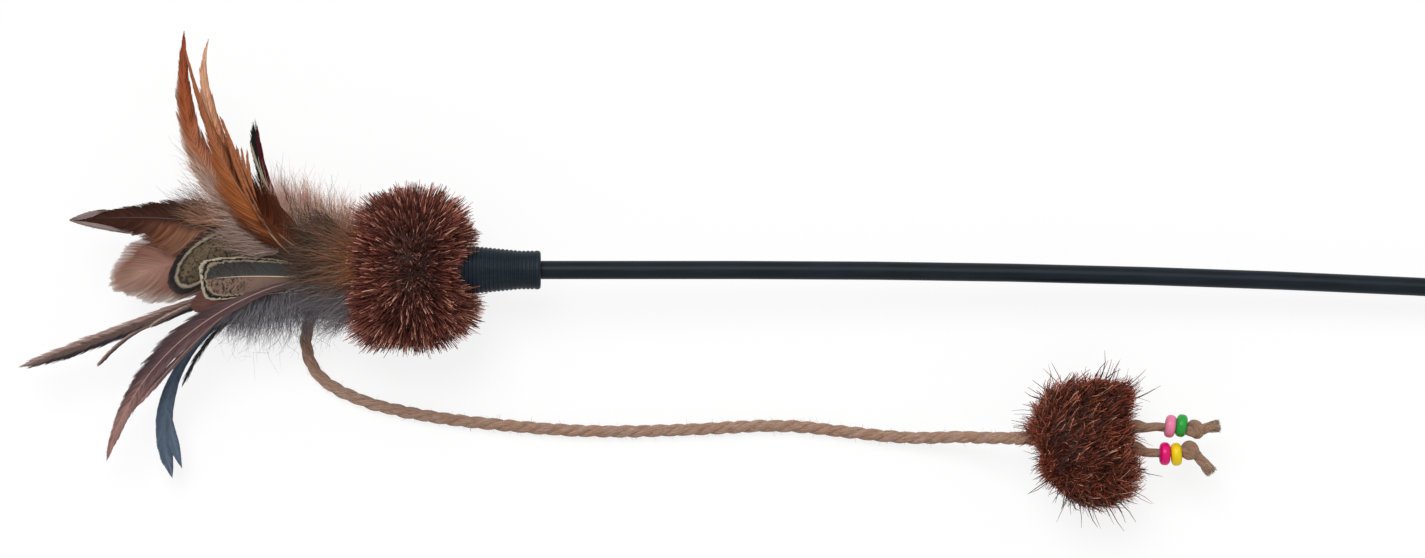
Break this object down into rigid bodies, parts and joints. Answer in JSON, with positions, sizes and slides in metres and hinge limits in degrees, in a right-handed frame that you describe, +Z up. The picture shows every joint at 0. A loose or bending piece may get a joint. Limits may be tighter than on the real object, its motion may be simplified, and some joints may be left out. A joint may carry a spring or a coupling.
{
  "type": "cat teaser wand",
  "caption": "Cat teaser wand: thin bowed rod with a ribbed collar, a bristly pom-pom and a fan of feathers, and a jute line to a small pom-pom lure with beaded, knotted tails.",
  "frame": {"origin": "on the surface that the wand lies on, in the flat under the middle of the large pom-pom", "axes": "+X along the rod towards its free end, +Z up from the surface, +Y to the left of the rod"},
  "size_m": [0.5763, 0.1233, 0.0418],
  "materials": {
    "rod_black": "smooth extruded black",
    "collar_black": "ribbed satin black",
    "cap_black": "matte black",
    "copper_pile": "coarse copper-brown tinsel fibre",
    "rust_feather": "glossy rust hackle",
    "bronze_feather": "dark bronze-green hackle with a pale edge",
    "brown_feather": "matte brown feather",
    "tan_feather": "soft pink-tan feather",
    "barred_feather": "speckled olive and cream feather with dark patches",
    "slate_feather": "slate-blue strap feather",
    "black_feather": "black wisp",
    "brick_feather": "brick-brown feather",
    "down_grey": "fine pink-grey down",
    "down_blue": "fine blue-grey down",
    "down_olive": "fine olive down",
    "jute": "twisted natural jute",
    "thread": "wound thread",
    "glue": "set hot glue",
    "paint_pink": "gloss pink paint on wood",
    "paint_green": "gloss green paint on wood",
    "paint_magenta": "gloss magenta paint on wood",
    "paint_yellow": "gloss yellow paint on wood"
  },
  "bodies": {
    "wand": {"rod": "rod_black", "rod_cap": "cap_black", "ferrule": "collar_black", "glue_plug": "glue", "quill_binding": "thread", "pompom_tie": "thread", "pompom_pile": "copper_pile", "rust_hackle_left": "rust_feather", "rust_hackle_front": "rust_feather", "rust_hackle_right": "rust_feather", "bronze_hackle": "bronze_feather", "brown_pointed_feather": "brown_feather", "tan_broad_feather": "tan_feather", "barred_feather_back": "barred_feather", "barred_feather_front": "barred_feather", "umber_slim_feather": "brown_feather", "umber_curved_feather": "brown_feather", "slate_strap_feather": "slate_feather", "black_wisp_feather": "black_feather", "brick_short_feather": "brick_feather", "down_upper": "down_grey", "down_lower": "down_blue", "down_crown": "down_olive", "twine_root": "jute"},
    "line": {"twine": "jute"},
    "lure": {"lure_core": "jute", "lure_pile": "copper_pile"},
    "upper_tail": {"tail_upper": "jute"},
    "lower_tail": {"tail_lower": "jute"},
    "pink_bead": {"bead_pink": "paint_pink"},
    "green_bead": {"bead_green": "paint_green"},
    "magenta_bead": {"bead_magenta": "paint_magenta"},
    "yellow_bead": {"bead_yellow": "paint_yellow"}
  },
  "joints": [
    {"name": "line_swing", "type": "hinge", "parent": "wand", "child": "line", "pos_m": [-0.02127, 0.00035, 0.0095], "axis": [0, 0, 1], "range_deg": [-170, 3]},
    {"name": "lure_pivot", "type": "hinge", "parent": "line", "child": "lure", "pos_m": [0.1586, -0.0437, 0.0151], "axis": [0, 0, 1], "range_deg": [-40, 12]},
    {"name": "upper_tail_swing", "type": "hinge", "parent": "lure", "child": "upper_tail", "pos_m": [0.188, -0.04115, 0.0151], "axis": [0, 0, 1], "range_deg": [0, 30]},
    {"name": "lower_tail_swing", "type": "hinge", "parent": "lure", "child": "lower_tail", "pos_m": [0.188, -0.04745, 0.0151], "axis": [0, 0, 1], "range_deg": [-30, 0]},
    {"name": "pink_bead_slide", "type": "slide", "parent": "upper_tail", "child": "pink_bead", "axis": [0.9986, 0.0523, 0], "range_m": [-0.004, 0]},
    {"name": "green_bead_spin", "type": "hinge", "parent": "pink_bead", "child": "green_bead", "pos_m": [0.19968, -0.04054, 0.0151], "axis": [0.9877, -0.1564, 0], "continuous": true},
    {"name": "magenta_bead_slide", "type": "slide", "parent": "lower_tail", "child": "magenta_bead", "axis": [0.9986, -0.0523, 0], "range_m": [-0.0028, 0]},
    {"name": "yellow_bead_spin", "type": "hinge", "parent": "magenta_bead", "child": "yellow_bead", "pos_m": [0.19839, -0.04799, 0.0151], "axis": [0.9986, 0.0523, 0], "continuous": true}
  ]
}
